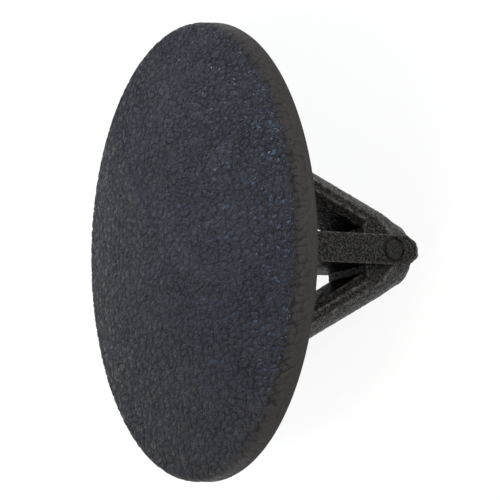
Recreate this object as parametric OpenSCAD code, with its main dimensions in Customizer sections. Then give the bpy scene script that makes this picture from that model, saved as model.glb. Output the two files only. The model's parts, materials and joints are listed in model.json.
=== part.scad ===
// Trim retainer clip, moulded in one piece: a round domed head, a flat tapered
// stem and two spring barbs that spread from a blunt nose towards the head.
// Millimetres, Z up. The clip lies on the edge of its head and the end of its stem.

/* [Head] */
// Outside diameter of the head
head_d = 25; // [22:0.5:30]
// Height of the head's plain edge, up to where the dome would meet it
head_edge = 1.2; // [1:0.1:1.6]
// Height of the dome above the edge
dome_rise = 1.5; // [1:0.1:2.2]
// Radius of the rounding between dome and edge
edge_round = 0.5; // [0.3:0.05:0.7]
// Wall between the dome and the hollow under it
head_wall = 1.4; // [1.2:0.1:1.6]
// Width of the flat seat ring round the hollow
seat_ring = 2; // [1.5:0.1:2.5]

/* [Panel hole] */
// Diameter of the hole that the prong is pushed into
panel_hole_d = 9; // [8.5:0.1:9.5]
// Clearance on each side between the stem's root and the hole
hole_clearance = 0.2; // [0.1:0.05:0.3]

/* [Stem] */
// Distance from the seat ring to the end of the stem
stem_length = 12.1; // [12.1:0.1:12.6]
// Thickness of the stem
stem_t = 1.7; // [1.5:0.1:1.9]
// Width of the stem at its end
stem_end_w = 4.2; // [4.2:0.1:4.6]
// Size of the bevel across the stem's end
stem_end_bevel = 0.3; // [0.2:0.05:0.4]
// Thickness that the stem thins down to at its end
stem_end_t = 0.5; // [0.4:0.1:0.8]
// Length of the part that thins down
stem_end_run = 0.9; // [0.7:0.1:1.1]

/* [Ejector mark] */
// Diameter of the round mark on the stem's edge
mark_d = 1.4; // [1.2:0.1:1.4]
// Width of the groove that outlines the mark
mark_groove = 0.12; // [0.1:0.02:0.2]
// Depth of that groove
mark_depth = 0.1; // [0.05:0.05:0.15]
// Distance from the stem's end to the middle of the mark
mark_setback = 1.9; // [1.8:0.1:2.2]

/* [Barbs] */
// Spread across the free ends of the barbs
barb_spread = 11; // [10.6:0.1:11.4]
// Distance from the seat ring to the free ends
barb_start = 3.8; // [3.4:0.1:4]
// Angle between a barb's outside and the axis
barb_angle = 26; // [25:0.5:27]
// Width of a barb, across the clip
barb_w = 4.3; // [4.1:0.1:4.5]
// Angle between a barb's inside and the axis
slot_angle = 28.5; // [28:0.5:30]
// Width of the slot beside the stem at its closed end
slot_end_w = 0.4; // [0.35:0.05:0.6]
// Distance from the seat ring to the closed end of the slot
slot_end = 8.5; // [8:0.1:8.6]
// Reach of the bevel across a barb's inside
bevel_reach = 0.3; // [0.2:0.05:0.4]
// Height of that bevel up the barb's side
bevel_height = 0.5; // [0.3:0.05:0.5]

/* [Nose] */
// Distance from the seat ring to the flat end of the nose
nose_end = 12; // [11.8:0.05:12]
// Radius of the rounding round the nose's end
nose_round = 0.8; // [0.6:0.1:1]

/* [Hidden] */
$fn = 96;
clear = 1;
nylon_black = [0.045, 0.047, 0.05];

head_r = head_d / 2;
head_h = head_edge + dome_rise;
dome_r = (head_r * head_r + dome_rise * dome_rise) / (2 * dome_rise);
dome_z = head_h - dome_r;
round_r = head_r - edge_round;
round_z = dome_z + sqrt(pow(dome_r - edge_round, 2) - round_r * round_r);
dome_reach = round_r * dome_r / (dome_r - edge_round);
hollow_r = head_r - seat_ring;

stem_root_w = panel_hole_d - 2 * hole_clearance;
stem_slope = (stem_root_w - stem_end_w) / 2 / stem_length;
stem_root_z = head_h - head_wall / 2;
thin_z = stem_length - stem_end_run;
bevel_z = stem_length - stem_end_bevel;
bevel_x = stem_end_w / 2 + stem_slope * stem_end_bevel;
end_x = stem_end_w / 2 - stem_end_bevel;
mark_z = stem_length - mark_setback;
mark_x = stem_end_w / 2 + stem_slope * mark_setback;

cone_slope = tan(barb_angle);
cone_tip = barb_start + barb_spread / 2 / cone_slope;
nose_ring_z = nose_end - nose_round;
nose_ring_r = (cone_tip - nose_ring_z) * cone_slope - nose_round / cos(barb_angle);
shoulder_z = nose_ring_z + nose_round * sin(barb_angle);
shoulder_r = nose_ring_r + nose_round * cos(barb_angle);

slot_mouth = barb_start - clear;
slot_wall = stem_t / 2 + slot_end_w;
slot_mouth_wall = slot_wall + (slot_end - slot_mouth) * tan(slot_angle);
slot_run = (slot_end - slot_mouth) / cos(slot_angle);

// The clip leans until the edge of its head and the end of its stem meet the ground
lean = atan(min((head_r - end_x) / stem_length, (head_r - bevel_x) / bevel_z));
ground = head_r * cos(lean);
back = round_z * cos(lean) + round_r * sin(lean) + edge_round;
front_end = stem_length * cos(lean) + end_x * sin(lean);
front_bevel = bevel_z * cos(lean) + bevel_x * sin(lean);
middle = (max(front_end, front_bevel) - back) / 2;

module head_profile() {
    intersection() {
        translate([0, dome_z])
            circle(r = dome_r);
        square([dome_reach, head_h]);
    }
    square([head_r, round_z]);
    translate([round_r, round_z])
        circle(r = edge_round);
}

module head_hollow() {
    intersection() {
        translate([0, 0, dome_z])
            sphere(r = dome_r - head_wall);
        translate([0, 0, -clear])
            cylinder(r = hollow_r, h = head_h + clear);
    }
}

module head() {
    difference() {
        rotate_extrude()
            head_profile();
        head_hollow();
    }
}

module stem_blade() {
    intersection() {
        rotate([90, 0, 0])
            linear_extrude(stem_t, center = true)
                polygon([
                    [stem_root_w / 2, stem_root_z],
                    [stem_root_w / 2, 0],
                    [bevel_x, -bevel_z],
                    [end_x, -stem_length],
                    [-end_x, -stem_length],
                    [-bevel_x, -bevel_z],
                    [-stem_root_w / 2, 0],
                    [-stem_root_w / 2, stem_root_z]
                ]);
        rotate([90, 0, 90])
            linear_extrude(stem_root_w + clear, center = true)
                polygon([
                    [stem_t, stem_root_z + clear],
                    [stem_t, -thin_z],
                    [stem_t / 2, -thin_z],
                    [stem_end_t / 2, -stem_length],
                    [-stem_end_t / 2, -stem_length],
                    [-stem_t / 2, -thin_z],
                    [-stem_t, -thin_z],
                    [-stem_t, stem_root_z + clear]
                ]);
    }
}

module ejector_mark() {
    translate([mark_x, 0, -mark_z])
        rotate([0, 90 + atan(stem_slope), 0])
            difference() {
                cylinder(d = mark_d, h = 2 * mark_depth, center = true);
                cylinder(d = mark_d - 2 * mark_groove, h = 4 * mark_depth, center = true);
            }
}

module stem() {
    difference() {
        stem_blade();
        ejector_mark();
    }
}

module bullet_profile() {
    polygon([
        [0, -barb_start],
        [barb_spread / 2, -barb_start],
        [shoulder_r, -shoulder_z],
        [0, -shoulder_z]
    ]);
    translate([0, -nose_end])
        square([nose_ring_r, nose_round]);
    translate([nose_ring_r, -nose_ring_z])
        circle(r = nose_round);
}

module bullet() {
    intersection() {
        rotate_extrude()
            bullet_profile();
        translate([-barb_w / 2, -barb_spread, -stem_length])
            cube([barb_w, 2 * barb_spread, stem_length]);
    }
}

module slots() {
    rotate([90, 0, 90])
        linear_extrude(barb_w + clear, center = true)
            polygon([
                [slot_wall, -slot_end],
                [slot_mouth_wall, -slot_mouth],
                [-slot_mouth_wall, -slot_mouth],
                [-slot_wall, -slot_end]
            ]);
}

module barb_bevel() {
    translate([0, slot_wall, -slot_end])
        rotate([-slot_angle, 0, 0])
            linear_extrude(slot_run)
                polygon([
                    [barb_w / 2 - 1.5 * bevel_reach, -bevel_height / 2],
                    [barb_w / 2 + bevel_reach / 2, 1.5 * bevel_height],
                    [barb_w / 2 + bevel_reach / 2, -bevel_height / 2]
                ]);
}

module barb_bevels() {
    for (side = [0, 1], end = [0, 1])
        mirror([0, side, 0])
            mirror([end, 0, 0])
                barb_bevel();
}

module barbs() {
    difference() {
        bullet();
        slots();
        barb_bevels();
    }
}

module retainer_clip() {
    color(nylon_black)
        translate([-middle, 0, ground])
            rotate([0, lean - 90, 0]) {
                head();
                stem();
                barbs();
            }
}

retainer_clip();
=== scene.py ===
import json
import math

import bmesh
import bpy
import numpy as np
from mathutils import Matrix, Vector, noise


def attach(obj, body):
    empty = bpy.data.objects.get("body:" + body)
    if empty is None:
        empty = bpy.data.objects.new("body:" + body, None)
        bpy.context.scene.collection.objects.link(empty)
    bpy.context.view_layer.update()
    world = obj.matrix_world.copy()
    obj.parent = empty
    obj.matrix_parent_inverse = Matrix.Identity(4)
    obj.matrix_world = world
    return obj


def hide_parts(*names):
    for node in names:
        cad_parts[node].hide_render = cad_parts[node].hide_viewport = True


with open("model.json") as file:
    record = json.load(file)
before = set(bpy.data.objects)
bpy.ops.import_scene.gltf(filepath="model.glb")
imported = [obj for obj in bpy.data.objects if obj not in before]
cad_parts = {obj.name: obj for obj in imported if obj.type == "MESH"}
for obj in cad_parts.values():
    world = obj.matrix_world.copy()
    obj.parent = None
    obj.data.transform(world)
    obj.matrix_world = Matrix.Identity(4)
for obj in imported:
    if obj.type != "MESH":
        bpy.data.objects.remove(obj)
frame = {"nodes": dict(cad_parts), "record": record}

MM = 0.001
CLIP_MIDDLE = Vector((0, 0, 9 * MM))
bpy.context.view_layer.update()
node = frame["nodes"]["retainer_clip"]

# The clip's own frame, from the mount at the middle of the seat: z out of the dome, x to the stem's edge
hole = [m for m in frame["record"]["mounts"] if m["name"] == "panel_hole"][0]
seat = Vector(hole["pos_m"])
prong_way = Vector(hole["axis"]).normalized()
dome_way = -prong_way
across_way = Vector((0, 1, 0))
edge_way = across_way.cross(dome_way)
clip_frame = Matrix((
    (edge_way.x, across_way.x, dome_way.x, seat.x),
    (edge_way.y, across_way.y, dome_way.y, seat.y),
    (edge_way.z, across_way.z, dome_way.z, seat.z),
    (0, 0, 0, 1),
))


def camera_at_photo():
    """The camera of the photo, by the angles and the scale measured in it, for a picture of 500 by 500."""
    size, scale, reach = 500, 18.36, 250
    seat_pixel = (209.1, 252.3)
    turn, slant, roll = (math.radians(d) for d in (62.3, 7.5, 0.95))
    right0 = (
        edge_way * (math.cos(turn) * math.cos(slant))
        - across_way * (math.cos(turn) * math.sin(slant))
        + prong_way * math.sin(turn)
    )
    down0 = -edge_way * math.sin(slant) - across_way * math.cos(slant)
    ahead = (
        -edge_way * (math.sin(turn) * math.cos(slant))
        + across_way * (math.sin(turn) * math.sin(slant))
        + prong_way * math.cos(turn)
    )
    right = math.cos(roll) * right0 - math.sin(roll) * down0
    down = math.sin(roll) * right0 + math.cos(roll) * down0
    place = (
        seat
        - ahead * (reach * MM)
        - right * ((seat_pixel[0] - size / 2) / scale * MM)
        - down * ((seat_pixel[1] - size / 2) / scale * MM)
    )
    data = bpy.data.cameras.new("photo_camera")
    data.sensor_width = 36
    data.lens = data.sensor_width * scale * reach / size
    data.clip_start = 0.01
    data.clip_end = 20
    camera = bpy.data.objects.new("photo_camera", data)
    camera.matrix_world = Matrix((
        (right.x, -down.x, -ahead.x, place.x),
        (right.y, -down.y, -ahead.y, place.y),
        (right.z, -down.z, -ahead.z, place.z),
        (0, 0, 0, 1),
    ))
    bpy.context.scene.collection.objects.link(camera)
    bpy.context.scene.camera = camera
    return camera


camera_at_photo()


def smooth(low, high, x):
    t = np.clip((x - low) / (high - low), 0, 1)
    return t * t * (3 - 2 * t)


def lattice_noise(p, size, seed):
    """Smooth noise from -1 to 1 on the points p of a plane, with waves about 2 sizes long."""
    count = 256
    table = np.random.default_rng(seed).uniform(-1, 1, (count, count))
    q = p / size
    base = np.floor(q).astype(int)
    part = q - base
    part = part * part * (3 - 2 * part)
    i, j = base[:, 0] % count, base[:, 1] % count
    i1, j1 = (i + 1) % count, (j + 1) % count
    low = table[i, j] * (1 - part[:, 0]) + table[i1, j] * part[:, 0]
    high = table[i, j1] * (1 - part[:, 0]) + table[i1, j1] * part[:, 0]
    return low * (1 - part[:, 1]) + high * part[:, 1]


def pebbles(p, size, seed):
    """Distances, in cell sizes, to the nearest and second nearest of the scattered middles of cells."""
    count = 256
    table = np.random.default_rng(seed).uniform(0.08, 0.92, (count, count, 2))
    q = p / size
    base = np.floor(q).astype(int)
    near = np.full(len(p), 9.0)
    second = np.full(len(p), 9.0)
    for i in (-2, -1, 0, 1, 2):
        for j in (-2, -1, 0, 1, 2):
            cell = base + (i, j)
            middle = cell + table[cell[:, 0] % count, cell[:, 1] % count]
            gap = np.hypot(*(q - middle).T)
            second = np.minimum(second, np.maximum(near, gap))
            near = np.minimum(near, gap)
    return near, second


def grain_height(p):
    """Leather grain of the head, from below -1 in the valleys to about 0 on the pebbles, at points p in mm."""
    p = p * (1 / GRAIN_STRETCH, 1)
    drift = np.stack([lattice_noise(p, 0.34, 3), lattice_noise(p, 0.34, 4)], 1)
    near, second = pebbles(p + 0.15 * drift, 0.42, 7)
    crown = smooth(0.0, 0.28, second - near) * (1 - 0.25 * near * near)
    fine = 0.6 * lattice_noise(p, 0.1, 11) + 0.4 * lattice_noise(p, 0.19, 12)
    patches = 0.86 + 0.14 * lattice_noise(p, 1.4, 13)
    return (crown - 1) * patches + 0.25 * fine - 0.22


# Sizes of the head, in mm, as in the part's source
HEAD_R = 12.5
HEAD_EDGE = 1.2
DOME_RISE = 1.5
EDGE_ROUND = 0.5
HEAD_WALL = 1.4
SEAT_RING = 2.0
DOME_R = (HEAD_R**2 + DOME_RISE**2) / (2 * DOME_RISE)
DOME_Z = HEAD_EDGE + DOME_RISE - DOME_R

# Details of the head that only the visual model has, in mm
FOOT_ROUND = 0.12
HOLLOW_ROUND = 0.1
GRAIN_DEPTH = 0.05
GRAIN_STRETCH = 1.7

# Sizes of the stem and its round mark, in mm, as in the part's source
STEM_LENGTH = 12.1
STEM_ROOT_W = 8.6
STEM_END_W = 4.2
STEM_T = 1.7
STEM_SLOPE = (STEM_ROOT_W - STEM_END_W) / 2 / STEM_LENGTH
MARK_SETBACK = 1.9
MARK_MIDDLE = np.array([STEM_END_W / 2 + MARK_SETBACK * STEM_SLOPE, 0, MARK_SETBACK - STEM_LENGTH])
MARK_WAY = np.array([1, 0, -STEM_SLOPE]) / math.hypot(1, STEM_SLOPE)
MARK_RING = 0.64
MARK_DEPTH = 0.1

# Reach in mm and slope of the barbs' outside, in the part's source and as the photo shows them, and the slots
BARB_START = 3.8
CAD_BARB = (5.5, math.tan(math.radians(26)))
PHOTO_BARB = (5.8, math.tan(math.radians(27.5)))
BARB_ROUND = 3.0
SLOT_END = 8.5
SLOT_END_W = 0.4
SLOT_WALL = STEM_T / 2 + SLOT_END_W
SLOT_SLOPE = math.tan(math.radians(28.5))

# How the visual prong is made, in mm: where the stem is cut from the head, the height of its new top, a radius
# that only the head reaches, the depths where the fuller barbs fade out, and the waves of the rough skin
STEM_CUT = 0.85
STEM_TOP = 1.7
HEAD_ONLY_R = 8
BARB_FADE = (10.2, 11.3)
SKIN_COARSE = 0.016
SKIN_FINE = 0.02
SKIN_DROP = 0.018


def head_outline():
    """The stretches of the head's outside, from the top of the dome to the seat's edge: the length of each,
    and its radius, height and slope at a distance s along it."""
    round_r = HEAD_R - EDGE_ROUND
    round_z = DOME_Z + math.sqrt((DOME_R - EDGE_ROUND) ** 2 - round_r**2)
    turn = math.asin(round_r / (DOME_R - EDGE_ROUND))
    return [
        (DOME_R * turn, lambda s: (
            DOME_R * np.sin(s / DOME_R), DOME_Z + DOME_R * np.cos(s / DOME_R), s / DOME_R)),
        (EDGE_ROUND * (math.pi / 2 - turn), lambda s: (
            round_r + EDGE_ROUND * np.sin(turn + s / EDGE_ROUND),
            round_z + EDGE_ROUND * np.cos(turn + s / EDGE_ROUND),
            turn + s / EDGE_ROUND)),
        (round_z - FOOT_ROUND, lambda s: (
            HEAD_R + 0 * s, round_z - s, math.pi / 2 + 0 * s)),
        (FOOT_ROUND * math.pi / 2, lambda s: (
            HEAD_R - FOOT_ROUND + FOOT_ROUND * np.cos(s / FOOT_ROUND),
            FOOT_ROUND - FOOT_ROUND * np.sin(s / FOOT_ROUND),
            math.pi / 2 + s / FOOT_ROUND)),
    ]


def outline_at(way):
    """Radius, height and slope at the distances way along the head's outside."""
    radius, height, slope = np.zeros_like(way), np.zeros_like(way), np.zeros_like(way)
    start = 0.0
    parts = head_outline()
    for k, (length, place) in enumerate(parts):
        last = k == len(parts) - 1
        here = (way >= start) & ((way < start + length) | last)
        radius[here], height[here], slope[here] = place(way[here] - start)
        start += length
    return radius, height, slope


def make_piece(name, points, faces, material):
    mesh = bpy.data.meshes.new(name)
    mesh.from_pydata(points, [], faces)
    mesh.update()
    for face in mesh.polygons:
        face.use_smooth = True
    piece = bpy.data.objects.new(name, mesh)
    piece.data.materials.append(material)
    bpy.context.scene.collection.objects.link(piece)
    return piece


def keep_values(mesh, name, values):
    """Stores a value for each point of the mesh, for the materials."""
    mesh.attributes.new(name, "FLOAT", "POINT").data.foreach_set("value", values)


def round_grid(steps):
    """A square grid bent to a disc: how far out each point is, from 0 to 1, its angle, and its number."""
    line = np.linspace(-1, 1, steps + 1)
    u, v = (g.ravel() for g in np.meshgrid(line, line, indexing="ij"))
    wide = np.abs(u) >= np.abs(v)
    reach = np.where(wide, u, v)
    with np.errstate(divide="ignore", invalid="ignore"):
        angle = np.where(wide, math.pi / 4 * v / u, math.pi / 2 - math.pi / 4 * u / v)
    angle = np.where(reach == 0, 0, angle) + np.where(reach < 0, math.pi, 0)
    index = np.arange((steps + 1) ** 2).reshape(steps + 1, steps + 1)
    return np.abs(reach), angle, index


def underside_profile():
    """Radius and height from the seat ring up the wall of the hollow and along its ceiling."""
    hollow_r = HEAD_R - SEAT_RING
    inner_r = DOME_R - HEAD_WALL
    ceiling = DOME_Z + math.sqrt(inner_r**2 - hollow_r**2)
    corner = HOLLOW_ROUND
    profile = [(HEAD_R - 0.4, 0.0), (HEAD_R - 1.2, 0.0), (hollow_r + corner, 0.0)]
    profile += [(hollow_r + 0.3 * corner, 0.3 * corner), (hollow_r, corner), (hollow_r, ceiling - corner)]
    profile += [(hollow_r - 0.3 * corner, ceiling - 0.3 * corner)]
    rings = (hollow_r - corner, 9, 7, 5, 3, 1.5, 0.6)
    return profile + [(r, DOME_Z + math.sqrt(inner_r**2 - r**2)) for r in rings]


def underside(points, rim):
    """The head's points with those of the underside, and the faces that close it from the rim's points."""
    coarse = len(rim) // 4
    turns = np.arange(coarse) * 2 * math.pi / coarse
    rows, more, faces = [], [], []
    count = len(points)
    for r, z in underside_profile():
        more.append(np.stack([r * np.cos(turns), r * np.sin(turns), np.full(coarse, z)], 1))
        rows.append(np.arange(coarse) + count)
        count += coarse
    points = np.concatenate([points] + more + [np.array([[0, 0, DOME_Z + DOME_R - HEAD_WALL]])])
    for k in range(coarse):
        n = (k + 1) % coarse
        f = [int(rim[(4 * k + m) % len(rim)]) for m in range(5)]
        a, b = int(rows[0][k]), int(rows[0][n])
        faces += [(f[0], a, f[1]), (f[1], a, f[2]), (f[2], a, b), (f[2], b, f[3]), (f[3], b, f[4])]
        for low, high in zip(rows, rows[1:]):
            faces.append((int(low[k]), int(high[k]), int(high[n]), int(low[n])))
        faces.append((int(rows[-1][k]), count, int(rows[-1][n])))
    return points, faces


def head_piece(material):
    """The head with its grain: a round grid from the dome's top to the seat's edge, and the underside."""
    out, angle, index = round_grid(300)
    total = sum(length for length, place in head_outline())
    way = out * total
    radius, height, slope = outline_at(way)
    flat = np.stack([way * np.cos(angle), way * np.sin(angle)], 1)
    wall_start = sum(length for length, place in head_outline()[:2])
    fade = 1 - 0.3 * smooth(wall_start - 0.25, wall_start + 0.2, way)
    fade = fade * (1 - smooth(total - 0.45, total - 0.2, way))
    grain = grain_height(flat) * fade
    rise = GRAIN_DEPTH * grain
    radius = radius + rise * np.sin(slope)
    height = height + rise * np.cos(slope)
    points = np.stack([radius * np.cos(angle), radius * np.sin(angle), height], 1)
    corners = [index[:-1, :-1], index[1:, :-1], index[1:, 1:], index[:-1, 1:]]
    faces = np.stack(corners, -1).reshape(-1, 4).tolist()
    rim = np.concatenate([index[-1, :-1], index[::-1, -1][:-1], index[0, ::-1][:-1], index[:, 0][:-1]])
    rim = rim[np.argsort(np.mod(np.arctan2(points[rim, 1], points[rim, 0]), 2 * math.pi - 1e-9))]
    points, under = underside(points, rim)
    faces += under
    world = [clip_frame @ Vector(p * MM) for p in points]
    piece = make_piece("grained_head", world, faces, material)
    edge = np.ones(len(points))
    edge[:len(way)] = smooth(wall_start - 0.7, wall_start, way)
    keep_values(piece.data, "rim", edge)
    relief = np.full(len(points), -0.3)
    relief[:len(way)] = grain
    keep_values(piece.data, "relief", relief)
    return piece


def mark_place(points):
    """Height above the stem's edge and distance from the middle of its round mark."""
    gap = points - MARK_MIDDLE
    height = gap @ MARK_WAY
    return height, np.linalg.norm(gap - height[:, None] * MARK_WAY, axis=1)


def points_of(mesh, name="co"):
    values = np.zeros(len(mesh.vertices) * 3)
    mesh.vertices.foreach_get(name, values)
    return values.reshape(-1, 3)


def painted_edge_highlight(mesh):
    """Where edges are painted lighter as highlights: 0 on flat or hollow skin to 1 on outward edges, by how
    far each point stands above its neighbours.
    """
    points, ways = points_of(mesh), points_of(mesh, "normal")
    pairs = np.zeros(len(mesh.edges) * 2, dtype=int)
    mesh.edges.foreach_get("vertices", pairs)
    a, b = pairs.reshape(-1, 2).T
    count = np.bincount(a, minlength=len(points)) + np.bincount(b, minlength=len(points))

    def around(values):
        return (np.bincount(a, values[b], len(points)) + np.bincount(b, values[a], len(points))) / count

    middle = np.stack([around(points[:, k]) for k in range(3)], 1)
    above = np.einsum("ij,ij->i", points - middle, ways)
    ridge_mask = smooth(0.002, 0.008, above)
    return 0.5 * ridge_mask + 0.5 * around(ridge_mask)


def fuller_barbs(points):
    """The prong's points with the barbs' outside moved to where the photo shows it. Slots and stem stay."""
    x, y, depth = points[:, 0], abs(points[:, 1]), -points[:, 2]
    wall = SLOT_WALL + np.maximum(SLOT_END - depth, 0) * SLOT_SLOPE
    cone = CAD_BARB[0] - (depth - BARB_START) * CAD_BARB[1]
    old = np.sqrt(np.maximum(cone**2 - x**2, 0.01))
    drop = (BARB_ROUND - np.sqrt(np.maximum(BARB_ROUND**2 - x**2, 0))) * math.hypot(1, PHOTO_BARB[1])
    new = PHOTO_BARB[0] - (depth - BARB_START) * PHOTO_BARB[1] - drop
    share = np.clip((new - wall) / np.maximum(old - wall, 0.05), 0.6, 1.5)
    share = 1 + (share - 1) * (1 - smooth(*BARB_FADE, depth))
    barb = (y > wall) & (depth > BARB_START - 0.3)
    moved = points.copy()
    moved[barb, 1] = (np.sign(points[:, 1]) * (wall + (y - wall) * share))[barb]
    return moved


def prong_form():
    """The CAD node's own stem and barbs in the clip's frame, cut off inside the head's hollow and given a
    new top. The groove of the round mark is levelled: it is cut again where the mesh is fine enough for it."""
    into_clip = clip_frame.inverted()
    work = bmesh.new()
    work.from_mesh(node.data)
    bmesh.ops.transform(work, matrix=Matrix.Scale(1 / MM, 4) @ into_clip, verts=work.verts)
    bmesh.ops.remove_doubles(work, verts=work.verts, dist=0.002)
    bmesh.ops.bisect_plane(
        work, geom=work.verts[:] + work.edges[:] + work.faces[:], dist=0.0005,
        plane_co=(0, 0, STEM_CUT), plane_no=(0, 0, 1), clear_outer=True)
    far = [v for v in work.verts if math.hypot(v.co.x, v.co.y) > HEAD_ONLY_R]
    bmesh.ops.delete(work, geom=far, context="VERTS")
    lids = bmesh.ops.holes_fill(work, edges=[e for e in work.edges if e.is_boundary], sides=0)["faces"]
    grown = bmesh.ops.extrude_face_region(work, geom=lids)["geom"]
    top = [v for v in grown if isinstance(v, bmesh.types.BMVert)]
    bmesh.ops.translate(work, verts=top, vec=(0, 0, STEM_TOP - STEM_CUT))
    bmesh.ops.delete(work, geom=lids, context="FACES_ONLY")
    bmesh.ops.triangulate(work, faces=work.faces[:])
    mesh = bpy.data.meshes.new("prong_form")
    work.to_mesh(mesh)
    work.free()
    points = points_of(mesh)
    height, gap = mark_place(points)
    groove = (abs(height) < 0.15) & (gap < 0.75)
    points[groove] -= height[groove, None] * MARK_WAY
    mesh.vertices.foreach_set("co", points.ravel())
    return mesh


def remeshed(piece):
    """An even mesh of the piece with softly broken edges."""
    remesh = piece.modifiers.new("remesh", "REMESH")
    remesh.mode = "SHARP"
    remesh.octree_depth = 8
    remesh.scale = 0.59
    remesh.use_remove_disconnected = False
    soften = piece.modifiers.new("soften", "SMOOTH")
    soften.factor = 0.4
    soften.iterations = 1
    view = bpy.context.evaluated_depsgraph_get()
    made = bpy.data.meshes.new_from_object(piece.evaluated_get(view))
    piece.modifiers.clear()
    return made


def refine_mark(mesh):
    """Splits the mesh round the stem's mark until it can hold the groove."""
    work = bmesh.new()
    work.from_mesh(mesh)
    for reach in (0.95, 0.85):
        spots = np.array([v.co for v in work.verts])
        height, gap = mark_place(spots)
        ring = (abs(height) < 0.1) & (abs(gap - MARK_RING) < reach - MARK_RING) & (abs(spots[:, 1]) < 0.8)
        inside = [e for e in work.edges if ring[e.verts[0].index] and ring[e.verts[1].index]]
        bmesh.ops.subdivide_edges(work, edges=inside, cuts=1, use_grid_fill=True)
        work.verts.index_update()
    work.to_mesh(mesh)
    work.free()
    mesh.update()


def roughened(mesh):
    """The prong's points with its rough skin and the mark's groove. Stores what its material reads."""
    points, ways = points_of(mesh), points_of(mesh, "normal")
    inward = -ways[:, 1] * np.sign(points[:, 1])
    beside = smooth(0.8, 0.95, abs(ways[:, 1])) * (abs(points[:, 1]) < 0.92)
    slot = np.maximum(smooth(0.6, 0.8, inward), beside)
    # Colour and gloss are painted down to a quarter on the slots' walls, a painted shade in the slots; the
    # barbs are a tenth lighter
    slot_shade_and_barb_lift = (1 - 0.75 * slot) * (1 + 0.1 * smooth(0.9, 1.1, abs(points[:, 1])))
    keep_values(mesh, "slot_shade_and_barb_lift", slot_shade_and_barb_lift)
    height, gap = mark_place(points)
    calm = np.where(abs(height) < 0.1, 1 - smooth(0.66, 0.74, gap), 0)
    keep_values(mesh, "calm", calm)
    apart = Vector((5, 1, 8))
    rise = (1 - 0.6 * calm) * np.array([
        SKIN_COARSE * noise.noise(Vector(p) * 5) + SKIN_FINE * noise.noise(Vector(p) * 9 + apart) - SKIN_DROP
        for p in points
    ])
    groove = (abs(height) < 0.1) & (abs(points[:, 1]) < 0.83)
    rise -= np.where(groove, MARK_DEPTH * (1 - smooth(0.03, 0.11, abs(gap - MARK_RING))), 0)
    return points + ways * rise[:, None]


def prong_piece(material):
    """The prong with its fuller barbs, its moulding grain and its painted edge highlights."""
    piece = bpy.data.objects.new("grained_prong", prong_form())
    bpy.context.scene.collection.objects.link(piece)
    mesh = remeshed(piece)
    keep_values(mesh, "painted_edge_highlight", painted_edge_highlight(mesh))
    refine_mark(mesh)
    piece.data = mesh
    mesh.vertices.foreach_set("co", fuller_barbs(points_of(mesh)).ravel())
    mesh.update()
    world = np.array(clip_frame)[:3, :3] @ (roughened(mesh).T * MM) + np.array(seat)[:, None]
    mesh.vertices.foreach_set("co", world.T.ravel())
    mesh.update()
    for face in mesh.polygons:
        face.use_smooth = True
    mesh.materials.clear()
    mesh.materials.append(material)
    return piece


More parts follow.
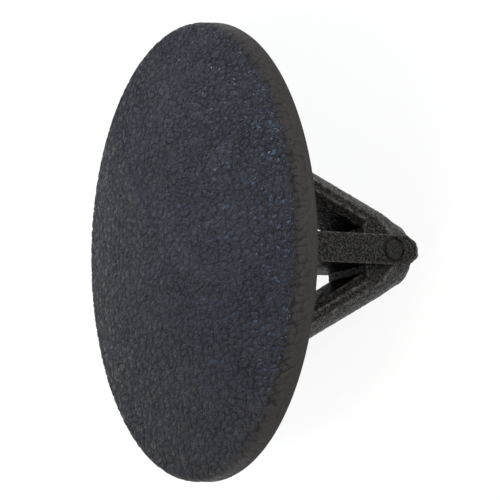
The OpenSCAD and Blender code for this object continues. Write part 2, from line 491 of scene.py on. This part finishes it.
class Nylon:
    """Black nylon: slow shifts of colour, a dull skin with polished specks, a grain finer than the mesh."""

    def __init__(self, name, colour, tint=(1, 1, 1), stretch=1):
        self.material = bpy.data.materials.new(name)
        self.material.use_nodes = True
        self.tree = self.material.node_tree
        self.tree.nodes.clear()
        out = self.add("OutputMaterial")
        self.shader = self.add("BsdfPrincipled")
        self.link(self.shader.outputs["BSDF"], out.inputs["Surface"])
        self.shader.inputs["Specular Tint"].default_value = (*tint, 1)
        self.where = self.add("TexCoord").outputs["Object"]
        if stretch != 1:
            turn = self.add("VectorRotate")
            turn.rotation_type = "Y_AXIS"
            turn.inputs["Angle"].default_value = math.atan2(edge_way.z, edge_way.x)
            self.link(self.where, turn.inputs["Vector"])
            pull = self.add("VectorMath")
            pull.operation = "MULTIPLY"
            pull.inputs[1].default_value = (1 / stretch, 1, 1)
            self.link(turn.outputs[0], pull.inputs[0])
            self.where = pull.outputs[0]
        dark, light = ([share * c for c in colour] for share in (0.82, 1.18))
        self.colour = self.ramp(self.noise(3.5, 3), 0.3, 0.7, dark, light)

    def add(self, kind):
        return self.tree.nodes.new("ShaderNode" + kind)

    def link(self, start, end):
        self.tree.links.new(start, end)

    def noise(self, size, detail):
        n = self.add("TexNoise")
        n.inputs["Scale"].default_value = 1 / (size * MM)
        n.inputs["Detail"].default_value = detail
        self.link(self.where, n.inputs["Vector"])
        return n.outputs["Fac"]

    def cells(self, size, warp_size, warp):
        """Distance to the nearest border of scattered cells, with borders that wander."""
        drift = self.add("TexNoise")
        drift.inputs["Scale"].default_value = 1 / (warp_size * MM)
        self.link(self.where, drift.inputs["Vector"])
        push = self.add("VectorMath")
        push.operation = "MULTIPLY_ADD"
        push.inputs[1].default_value = (warp * MM, warp * MM, warp * MM)
        self.link(drift.outputs["Color"], push.inputs[0])
        self.link(self.where, push.inputs[2])
        border = self.add("TexVoronoi")
        border.feature = "DISTANCE_TO_EDGE"
        border.inputs["Scale"].default_value = 1 / (size * MM)
        self.link(push.outputs[0], border.inputs["Vector"])
        return border.outputs["Distance"]

    def ramp(self, value, low, high, first, last):
        n = self.add("ValToRGB")
        n.color_ramp.elements[0].position = low
        n.color_ramp.elements[1].position = high
        n.color_ramp.elements[0].color = (*first, 1)
        n.color_ramp.elements[1].color = (*last, 1)
        self.link(value, n.inputs["Fac"])
        return n.outputs["Color"]

    def span(self, value, low, high, first, last):
        n = self.add("MapRange")
        n.interpolation_type = "SMOOTHSTEP"
        n.inputs["From Min"].default_value = low
        n.inputs["From Max"].default_value = high
        n.inputs["To Min"].default_value = first
        n.inputs["To Max"].default_value = last
        self.link(value, n.inputs["Value"])
        return n.outputs["Result"]

    def attribute(self, name):
        n = self.add("Attribute")
        n.attribute_name = name
        return n.outputs["Fac"]

    def sum(self, kind, a, b):
        n = self.add("Math")
        n.operation = kind
        for slot, value in zip(n.inputs, (a, b)):
            if isinstance(value, (int, float)):
                slot.default_value = value
            else:
                self.link(value, slot)
        return n.outputs[0]

    def mix(self, share, first, last):
        n = self.add("Mix")
        n.data_type = "RGBA"
        self.link(share, n.inputs[0])
        for slot, value in zip((n.inputs[6], n.inputs[7]), (first, last)):
            if isinstance(value, tuple):
                slot.default_value = (*value, 1)
            else:
                self.link(value, slot)
        return n.outputs[2]

    def finish(self, gloss, roughness, height, depth):
        self.link(self.colour, self.shader.inputs["Base Color"])
        self.link(gloss, self.shader.inputs["Specular IOR Level"])
        self.link(roughness, self.shader.inputs["Roughness"])
        bump = self.add("Bump")
        bump.inputs["Distance"].default_value = depth * MM
        self.link(height, bump.inputs["Height"])
        self.link(bump.outputs["Normal"], self.shader.inputs["Normal"])
        return self.material


def head_nylon():
    skin = Nylon("head_nylon", (0.0208, 0.0174, 0.0167), (1, 0.93, 0.98), GRAIN_STRETCH)
    rim = skin.attribute("rim")
    # The rim and wall are painted about twice as light as the face: a painted sheen for the light the wall
    # catches
    skin.colour = skin.mix(rim, skin.colour, (0.044, 0.0415, 0.041))
    relief = skin.attribute("relief")
    # The grain's valleys are painted nearly black: painted shade in the hollows of the grain
    skin.colour = skin.mix(skin.span(relief, -0.95, -0.4, 0.5, 0), skin.colour, (0.002, 0.002, 0.002))
    valleys = skin.span(skin.cells(0.25, 0.25, 0.2), 0.0, 0.2, 1, 0)
    valleys = skin.sum("MULTIPLY", valleys, skin.span(skin.noise(1.1, 1), 0.35, 0.65, 0.7, 1))
    height = skin.sum("SUBTRACT", skin.sum("MULTIPLY", skin.noise(0.13, 3), 0.5), valleys)
    height = skin.sum("MULTIPLY", height, skin.span(rim, 0, 1, 1, 0.3))
    gloss = skin.sum("MULTIPLY", skin.span(valleys, 0.4, 1, 1, 0.45), skin.span(rim, 0, 1, 0.06, 0.1))
    polish = skin.span(skin.noise(0.3, 2), 0.5, 0.62, 0, 0.26)
    polish = skin.sum("MULTIPLY", polish, skin.span(rim, 0, 1, 1, 0.15))
    return skin.finish(gloss, skin.sum("SUBTRACT", 0.54, polish), height, 0.034)


def prong_nylon():
    skin = Nylon("prong_nylon", (0.0165, 0.0154, 0.0144))
    specks = skin.noise(0.1, 2)
    # The low spots of the speck noise are painted dark in colour and gloss: painted shade in the pits of the
    # grain
    shine = skin.span(specks, 0.42, 0.66, 0.3, 1.5)
    calm = skin.attribute("calm")
    shine = skin.sum("MULTIPLY", shine, skin.span(calm, 0, 1, 1, 0.35))
    shine = skin.sum("ADD", shine, skin.span(calm, 0, 1, 0, 0.4))
    # Painted shade on the slots' walls, and barbs a tenth lighter
    shine = skin.sum("MULTIPLY", shine, skin.attribute("slot_shade_and_barb_lift"))
    # The colour darkened by shine: painted shade in the pits and in the slots
    shaded_colour = skin.mix(skin.sum("MINIMUM", shine, 1), (0, 0, 0), skin.colour)
    # Outward edges are painted light brown: painted highlights along the edges
    edge_light_share = skin.span(skin.noise(0.25, 2), 0.38, 0.62, 0.15, 1)
    edge_light_share = skin.sum("MULTIPLY", skin.attribute("painted_edge_highlight"), edge_light_share)
    skin.colour = skin.mix(edge_light_share, shaded_colour, (0.2, 0.185, 0.17))
    gloss = skin.sum("MULTIPLY", shine, 0.32)
    pits = skin.sum("MULTIPLY", skin.noise(0.3, 2), 0.8)
    height = skin.sum("ADD", skin.sum("MULTIPLY", specks, 0.7), pits)
    roughness = skin.span(skin.noise(0.18, 2), 0.42, 0.58, 0.56, 0.33)
    return skin.finish(gloss, roughness, height, 0.12)


head = head_piece(head_nylon())
prong = prong_piece(prong_nylon())
for piece in (head, prong):
    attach(piece, "root")
    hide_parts("retainer_clip")


def white_for_viewer(add, link):
    """1 for rays of the camera, of gloss and of glass, and 0 for the light that falls on things."""
    path = add("ShaderNodeLightPath")
    first = add("ShaderNodeMath")
    first.operation = "MAXIMUM"
    link(path.outputs["Is Camera Ray"], first.inputs[0])
    link(path.outputs["Is Glossy Ray"], first.inputs[1])
    both = add("ShaderNodeMath")
    both.operation = "MAXIMUM"
    link(first.outputs[0], both.inputs[0])
    link(path.outputs["Is Transmission Ray"], both.inputs[1])
    return both


def stage():
    """A white floor that keeps the shadow, and an even pale world."""
    half = 1.5
    mesh = bpy.data.meshes.new("floor")
    mesh.from_pydata(
        [(-half, -half, 0), (half, -half, 0), (half, half, 0), (-half, half, 0)], [], [(0, 1, 2, 3)])
    floor = bpy.data.objects.new("floor", mesh)
    floor.location.z = -0.00005
    bpy.context.scene.collection.objects.link(floor)
    material = bpy.data.materials.new("floor_white")
    material.use_nodes = True
    tree = material.node_tree
    tree.nodes.clear()
    add, link = tree.nodes.new, tree.links.new
    out = add("ShaderNodeOutputMaterial")
    both = add("ShaderNodeAddShader")
    matt = add("ShaderNodeBsdfDiffuse")
    matt.inputs["Color"].default_value = (0.13, 0.13, 0.13, 1)
    glow = add("ShaderNodeEmission")
    seen = white_for_viewer(add, link)
    part = add("ShaderNodeMath")
    part.operation = "MULTIPLY"
    part.inputs[1].default_value = 0.9
    link(seen.outputs[0], part.inputs[0])
    link(part.outputs[0], glow.inputs["Strength"])
    link(matt.outputs[0], both.inputs[0])
    link(glow.outputs[0], both.inputs[1])
    link(both.outputs[0], out.inputs["Surface"])
    mesh.materials.append(material)

    world = bpy.data.worlds.new("white_room")
    bpy.context.scene.world = world
    world.use_nodes = True
    tree = world.node_tree
    tree.nodes.clear()
    add, link = tree.nodes.new, tree.links.new
    out = add("ShaderNodeOutputWorld")
    sky = add("ShaderNodeBackground")
    sky.inputs["Color"].default_value = (1, 1, 1, 1)
    sky.inputs["Strength"].default_value = 0.5
    link(sky.outputs[0], out.inputs["Surface"])


def softbox(name, place, size, watts, colour):
    """A lamp of the given size in metres that faces the middle of the clip."""
    data = bpy.data.lights.new(name, "AREA")
    data.shape = "RECTANGLE"
    data.size, data.size_y = size
    data.energy = watts
    data.color = colour
    lamp = bpy.data.objects.new(name, data)
    lamp.location = place
    lamp.rotation_euler = (CLIP_MIDDLE - Vector(place)).to_track_quat("-Z", "Y").to_euler()
    bpy.context.scene.collection.objects.link(lamp)


stage()
softbox("key", (-0.1, -0.11, 0.4), (0.12, 0.12), 1.2, (1, 0.975, 0.92))
softbox("side", (0.1, 0.4, 0.13), (0.12, 0.12), 0.3, (1, 0.97, 0.93))
softbox("window", (-0.43, 0.11, 0.055), (0.26, 0.1), 2.2, (0.27, 0.56, 1))
softbox("glint", (-0.352, 0.188, 0.022), (0.03, 0.03), 0.36, (1, 1, 1))
softbox("spark", (0.3, 0.17, 0.2), (0.03, 0.03), 0.36, (1, 0.95, 0.9))
bpy.context.scene.view_settings.view_transform = "Standard"
